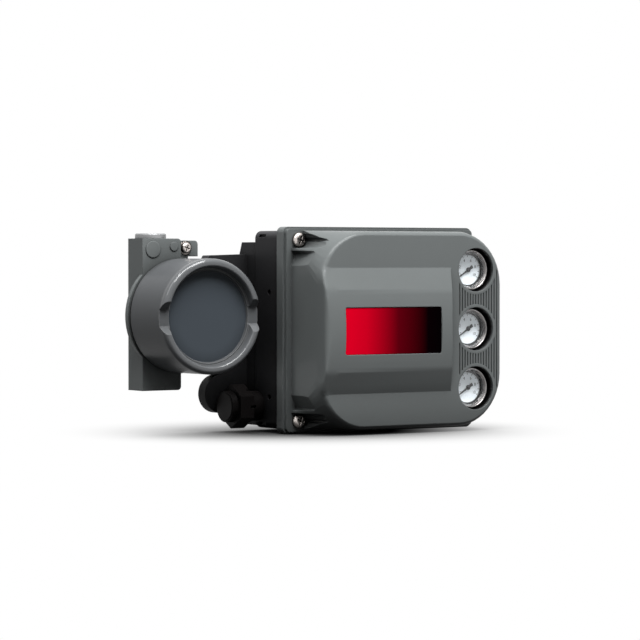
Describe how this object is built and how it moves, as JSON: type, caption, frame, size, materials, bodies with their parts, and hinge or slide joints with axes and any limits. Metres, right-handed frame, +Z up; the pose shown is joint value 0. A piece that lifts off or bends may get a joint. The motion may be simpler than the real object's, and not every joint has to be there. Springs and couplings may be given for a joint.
{
  "type": "valve positioner",
  "caption": "Electro-pneumatic valve positioner: moulded cover with a gauge column and label window, housing with a rear feedback slot, and a side terminal box with a screw-on cap.",
  "frame": {"origin": "centre of the rear mounting hole pattern, on the rear face", "axes": "+Z up, -Y towards the front cover, +X to the right seen from the front"},
  "size_m": [0.3058, 0.123, 0.164],
  "materials": {
    "cover_paint": "satin",
    "housing_paint": "satin",
    "bright_steel": "satin",
    "black_rubber": "matte",
    "label_film": "gloss",
    "gauge_steel": "satin",
    "dial_face": "matte",
    "pointer_black": "matte",
    "lens_glass": "clear",
    "cast_aluminium": "cast",
    "black_plastic": "matte",
    "board_green": "satin",
    "terminal_plastic": "satin",
    "cable_jacket": "matte",
    "plug_metal": "satin",
    "screen_steel": "woven"
  },
  "bodies": {
    "body": {"front_cover": "cover_paint", "terminal_box": "cover_paint", "housing": "housing_paint", "cover_screws": "bright_steel", "earth_screw": "bright_steel", "earth_washer": "bright_steel", "module_screws": "bright_steel", "converter_screws": "bright_steel", "relay_screws": "bright_steel", "board_screws": "bright_steel", "sensor_screws": "bright_steel", "terminal_box_screws": "bright_steel", "terminal_board_screws": "bright_steel", "terminal_clamp_screws": "bright_steel", "cover_gasket": "black_rubber", "port_seals": "black_rubber", "converter_gasket": "black_rubber", "relay_gasket": "black_rubber", "terminal_box_seal": "black_rubber", "label_plate": "label_film", "gauge_case_top": "gauge_steel", "gauge_case_middle": "gauge_steel", "gauge_case_bottom": "gauge_steel", "gauge_dial_top": "dial_face", "gauge_dial_middle": "dial_face", "gauge_dial_bottom": "dial_face", "gauge_lens_top": "lens_glass", "gauge_lens_middle": "lens_glass", "gauge_lens_bottom": "lens_glass", "module_base": "cast_aluminium", "pneumatic_relay": "cast_aluminium", "pressure_converter": "black_plastic", "travel_sensor": "black_plastic", "vent_body": "black_plastic", "circuit_board": "board_green", "terminal_board": "board_green", "terminal_block": "terminal_plastic", "signal_cable": "cable_jacket", "conduit_plug": "plug_metal", "vent_screen": "screen_steel"},
    "cap_seal_ring": {"cap_seal": "black_rubber"},
    "cap": {"terminal_cap": "cover_paint"},
    "relay_disc": {"relay_adjust_disc": "black_plastic"},
    "pointer_top": {"gauge_pointer_top": "pointer_black"},
    "pointer_middle": {"gauge_pointer_middle": "pointer_black"},
    "pointer_bottom": {"gauge_pointer_bottom": "pointer_black"}
  },
  "joints": [
    {"name": "pointer_top_turn", "type": "hinge", "parent": "body", "child": "pointer_top", "pos_m": [0.0648, -0.1025, 0.0477], "axis": [0, 1, 0], "range_deg": [0, 244], "stiffness_Nm_per_rad": 0.0001},
    {"name": "pointer_middle_turn", "type": "hinge", "parent": "body", "child": "pointer_middle", "pos_m": [0.0648, -0.1025, 0], "axis": [0, 1, 0], "range_deg": [0, 244], "stiffness_Nm_per_rad": 0.0001},
    {"name": "pointer_bottom_turn", "type": "hinge", "parent": "body", "child": "pointer_bottom", "pos_m": [0.0648, -0.1025, -0.0477], "axis": [0, 1, 0], "range_deg": [0, 244], "stiffness_Nm_per_rad": 0.0001},
    {"name": "cap_travel", "type": "slide", "parent": "body", "child": "cap_seal_ring", "axis": [0, -1, 0], "range_m": [0, 0.0121]},
    {"name": "cap_turn", "type": "hinge", "parent": "cap_seal_ring", "child": "cap", "pos_m": [-0.1672, -0.06, 0.012], "axis": [0, -1, 0], "range_deg": [0, 2160]},
    {"name": "relay_disc_turn", "type": "hinge", "parent": "body", "child": "relay_disc", "pos_m": [0, -0.0805, -0.03], "axis": [0, -1, 0], "range_deg": [-120, 120]}
  ],
  "couplings": [
    {"joint": "cap_travel", "follows": "cap_turn", "m_per_rad": 0.00031831}
  ]
}
